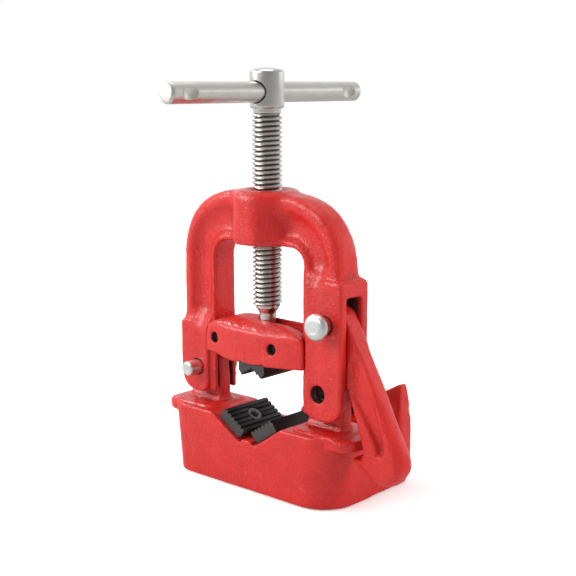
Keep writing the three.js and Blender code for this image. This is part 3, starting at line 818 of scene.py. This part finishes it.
for node in ("lower_jaw_left", "lower_jaw_right"):
    piece(f"{node}_pad", bevelled(from_cad(node), 0.08), "base", BLACK, "black_steel", node)
for side, node in ((-1, "lower_jaw_screw_left"), (1, "lower_jaw_screw_right")):
    piece(f"{node}_cap", cap_screw(side), "base", WORN_BLACK, "black_steel", node)
for node, suffix, width in (("upper_jaw", "pad", 0.1), ("upper_jaw_screw", "cap", 0.22)):
    mesh = bevelled(from_cad(node), width)
    piece(f"{node}_{suffix}", mesh, "jaw_holder", BLACK, "black_steel", node)

# ---- pins ---------------------------------------------------------------------------------------


def hinge_pin():
    """The hinge pin, with a faced front end and a chamfer at each."""
    low, high = node_box("hinge_pin")
    front, back, r = low[1], high[1], HINGE_PIN_R
    profile = [
        (0, front + 0.25), (r - 2.2, front + 0.12), (r - 0.9, front), (r, front + 0.9),
        (r, back - 0.6), (r - 0.6, back), (0, back),
    ]
    return turned("hinge_pin", softened(profile, 0.5), "y", (HINGE_X, 0, HINGE_Z))


def hook_pin():
    """The hook's pin, with a domed head that has a faced spot in its middle."""
    low, high = node_box("hook_pin")
    front, back, r = low[1], high[1], HOOK_PIN_R
    head_r = (high[0] - low[0]) / 2
    profile = [
        (0, front + 0.1), (2.7, front + 0.1), (3.0, front), (4.8, front + 0.15), (6.4, front + 1.0),
        (head_r, front + 2.4), (head_r, front + 3.9), (head_r - 0.7, front + 5.1), (r, front + 5.1),
        (r, back - 0.6), (r - 0.6, back), (0, back),
    ]
    return turned("hook_pin", softened(profile, 0.8), "y", (HOOK_PIN_X, 0, HOOK_PIN_Z))


piece("hinge_pin_turned", hinge_pin(), "yoke", HINGE_ZINC, "zinc_steel", "hinge_pin")
piece("hook_pin_turned", hook_pin(), "yoke", HOOK_ZINC, "zinc_steel", "hook_pin")
for pin, zinced in (("hinge_pin", HINGE_ZINC), ("hook_pin", HOOK_ZINC)):
    for part, width in (("washer", 0.3), ("cotter", 0.25)):
        node = f"{pin}_{part}"
        piece(f"{node}_plated", bevelled(from_cad(node, 0.5), width), "yoke", zinced, "zinc_steel", node)
for node in ("screw_keeper_pin", "holder_spare_pin"):
    dowel = bevelled(from_cad(node, 0.5), 0.5)
    piece(f"{node}_dowel", dowel, "jaw_holder", SHADED_DOWEL_STEEL, "bright_steel", node)

# ---- screw and bar ------------------------------------------------------------------------------


def thread(sides=72):
    """The screw's right-handed thread: one strip wound up the shaft, its ends sunk into the core."""
    crest, root = SCREW_R, SCREW_R - THREAD_DEPTH
    sunk = root - 0.35
    # Radius, and height in pitches
    section = [
        (root, 0.0), (root, 0.10), (crest - 0.12, 0.40), (crest, 0.46), (crest, 0.60), (crest - 0.12, 0.66),
    ]
    turns = (THREAD_HIGH - THREAD_LOW) / THREAD_PITCH - 1
    steps = int(turns * sides)
    bm = bmesh.new()
    rows = []
    for i in range(steps + sides + 1):
        row = []
        for r, up in section:
            z = THREAD_LOW + THREAD_PITCH * (i / sides + up - 0.5)
            from_foot = max(0, (z - THREAD_LOW) / (0.55 * THREAD_PITCH))
            from_top = max(0, (THREAD_HIGH - z) / (0.8 * THREAD_PITCH))
            radius = sunk + (r - sunk) * min(1, from_foot, from_top)
            row.append(bm.verts.new(around(radius, 2 * math.pi * i / sides, z)))
        rows.append(row)
    for i in range(steps + sides):
        here, there = rows[i], rows[i + 1]
        for k in range(len(section) - 1):
            bm.faces.new((here[k], there[k], there[k + 1], here[k + 1]))
        if i + sides + 1 < len(rows):
            bm.faces.new((here[-1], there[-1], rows[i + sides + 1][0], rows[i + sides][0]))
    return finished(bm, "thread", 50)


def shaft():
    """The screw without its thread, bored for the bar."""
    low, high = node_box("spindle")
    foot, top, head_r = low[2], high[2], high[0]
    core, collar = SCREW_R - THREAD_DEPTH - 0.1, 7.45
    profile = [
        (0, foot), (BUTTON_R - 1, foot), (BUTTON_R, foot + 1), (BUTTON_R, BUTTON_TOP - 1),
        (BUTTON_R - 1, BUTTON_TOP), (NECK_R, BUTTON_TOP), (NECK_R, THREAD_LOW - 3.3),
        (core, THREAD_LOW - 0.4), (core, THREAD_HIGH - 1), (collar, THREAD_HIGH - 0.4),
        (collar, HEAD_FOOT), (head_r - 0.9, HEAD_FOOT), (head_r, HEAD_FOOT + 1.1),
        (head_r, top - 2.2), (head_r - 1.0, top - 1.15), (4, top - 0.2), (0, top),
    ]
    body = turned("shaft", softened(profile, 0.45, 3), "z")
    bore = [(0, -20), (BAR_BORE_R, -20), (BAR_BORE_R, 20), (0, 20)]
    return bevelled(subtracted(body, turned("bore", bore, "y", (0, 0, BAR_Z), 64)), 0.22, 2, 50)


def bar():
    """The sliding bar, with a pair of dimples swaged into it near each end so that it stays in."""
    low, high = node_box("handle_bar")
    r = (high[0] - low[0]) / 2
    start, end = low[1], high[1]
    profile = [(0, start), (r - 1.1, start), (r, start + 1.1), (r, end - 1.1), (r - 1.1, end), (0, end)]
    rod = turned("bar", softened(profile, 0.35), "y", (0, 0, BAR_Z), 64)
    arc = [math.pi * i / 24 for i in range(25)]
    ball = [(DIMPLE_R * math.sin(a), -DIMPLE_R * math.cos(a)) for a in arc]
    ball[0], ball[-1] = (0, -DIMPLE_R), (0, DIMPLE_R)
    x, y = r + DIMPLE_R - DIMPLE_DEPTH, (start + end) / 2
    dimples = [
        turned("dimple", ball, "z", (side * x, y + which * DIMPLE_Y, BAR_Z), 64)
        for side in (-1, 1) for which in (-1, 1)
    ]
    return bevelled(subtracted(rod, *dimples), 0.14, 2, 24)


piece("screw_shaft", shaft(), "spindle", SHAFT_STEEL, "bright_steel", "spindle")
piece("screw_thread", thread(), "spindle", THREAD_STEEL, "bright_steel", "spindle")
piece("tee_bar", bar(), "handle_bar", BAR_STEEL, "bright_steel", "handle_bar")

# ---- floor, light and camera --------------------------------------------------------------------


def floor_paper():
    """White paper. What the camera sees of it is lifted to plain white, which its reflections aren't."""
    nodes = Finish("floor")
    white = nodes.mix(nodes.spread(nodes.noise(90, 2), 0.3, 0.7), grey(0.93), grey(0.95))
    ray = nodes.new("ShaderNodeLightPath").outputs
    lift = nodes.spread(nodes.length(nodes.place), 0.15, 0.6, 0.3, 0.9)
    nodes.set(
        Base_Color=nodes.mix(ray["Is Glossy Ray"], white, grey(0.5)),
        Emission_Strength=nodes.calculate("MULTIPLY", ray["Is Camera Ray"], lift),
        Emission_Color=grey(1), Roughness=0.6, Specular_IOR_Level=0.2,
    )
    return nodes.material


def floor():
    """A round floor, just under the base."""
    bm = bmesh.new()
    bmesh.ops.create_circle(bm, cap_ends=True, segments=128, radius=0.9)
    mesh = bpy.data.meshes.new("floor")
    bm.to_mesh(mesh)
    bm.free()
    mesh.materials.append(floor_paper())
    obj = bpy.data.objects.new("floor", mesh)
    obj.location.z = -0.0002
    bpy.context.scene.collection.objects.link(obj)


def softbox(name, place, size, power, target=(0, 0, 0.1), mirrored=True):
    """An area light, in metres and watts, which polished faces mirror unless told otherwise."""
    data = bpy.data.lights.new(name, "AREA")
    data.shape = "RECTANGLE"
    data.size, data.size_y = size
    data.energy = power
    obj = bpy.data.objects.new(name, data)
    obj.location = place
    obj.rotation_euler = (Vector(target) - Vector(place)).to_track_quat("-Z", "Y").to_euler()
    obj.visible_camera = False
    obj.visible_glossy = mirrored
    bpy.context.scene.collection.objects.link(obj)


def tent():
    """A white tent open at the front: it is mirrored white behind the object and dark before it."""
    world = bpy.data.worlds.new("studio")
    bpy.context.scene.world = world
    world.use_nodes = True
    nodes = Nodes(world.node_tree)
    place = nodes.new("ShaderNodeTexCoord").outputs["Generated"]
    towards = nodes.new("ShaderNodeVectorMath", {0: place, 1: TENT_BACK}, operation="DOT_PRODUCT")
    shade = nodes.new("ShaderNodeValToRGB", {0: nodes.spread(towards.outputs["Value"], -1, 1)})
    stops = shade.color_ramp.elements
    stops[0].color = grey(0.32)
    stops[1].color = grey(1)
    for position, level in ((0.35, 0.5), (0.6, 0.62), (0.8, 0.95)):
        stops.new(position).color = grey(level)
    ray = nodes.new("ShaderNodeLightPath").outputs
    light = nodes.mix(ray["Is Camera Ray"], grey(AMBIENT), grey(1))
    light = nodes.mix(ray["Is Glossy Ray"], light, shade.outputs[0])
    background = nodes.tree.nodes["Background"]
    nodes.put(background.inputs["Color"], light)
    nodes.put(background.inputs["Strength"], 1.0)


def lights():
    """Soft light from the front and above, with a weak one behind and a fill that isn't mirrored."""
    softbox("front_left", (-0.55, -0.55, 0.45), (0.35, 0.35), 3.7, (-0.18, -0.15, 0.0))
    softbox("front", (-0.25, -1.0, 0.75), (0.5, 0.5), 4)
    softbox("back_right", (0.55, 0.85, 0.42), (0.6, 0.35), 0.5)
    softbox("right_fill", (0.9, 0.5, 0.45), (0.5, 0.5), 6, mirrored=False)
    softbox("over", (-0.15, 0.1, 1.1), (0.7, 0.7), 2.5)
    softbox("spark", (-0.75, -0.1, 0.75), (0.12, 0.12), 1.6)


def camera():
    """Looks from the front right, from about the height of the bar."""
    data = bpy.data.cameras.new("camera")
    data.lens = CAMERA_LENS
    data.sensor_width = 36
    data.clip_start, data.clip_end = 0.01, 50
    obj = bpy.data.objects.new("camera", data)
    place, target = Vector(CAMERA_AT) * MM, Vector(CAMERA_TO) * MM
    obj.location = place
    obj.rotation_euler = (target - place).to_track_quat("-Z", "Y").to_euler()
    bpy.context.scene.collection.objects.link(obj)
    bpy.context.scene.camera = obj


floor()
tent()
lights()
camera()
bpy.context.scene.view_settings.view_transform = "Standard"
